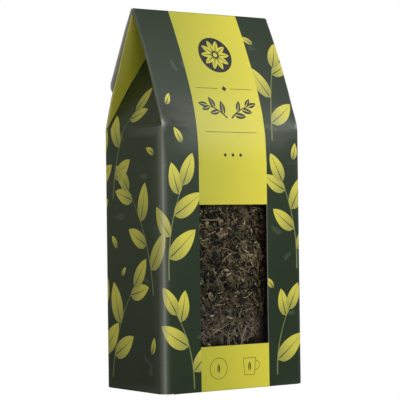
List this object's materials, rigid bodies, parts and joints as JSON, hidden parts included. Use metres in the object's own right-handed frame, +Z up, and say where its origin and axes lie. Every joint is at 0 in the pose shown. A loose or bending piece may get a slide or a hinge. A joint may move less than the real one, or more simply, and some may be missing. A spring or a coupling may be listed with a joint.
{
  "type": "tea box",
  "caption": "Gable-top folded card carton with a die-cut front window, inward-folded ends, a closing flap over the back roof and a clear pouch of loose tea inside.",
  "frame": {"origin": "middle of the base, on the surface that the carton stands on", "axes": "+Z up to the ridge, the front panel with the window faces -Y, +X to the right of that panel"},
  "size_m": [0.088, 0.054, 0.199],
  "materials": {
    "card": "dark green and yellow-green satin print on folding boxboard",
    "tea": "dry rolled leaf, dark olive brown",
    "film": "clear thin plastic film"
  },
  "bodies": {
    "root": {"carton": "card", "tea_pouch": "tea"}
  },
  "joints": []
}
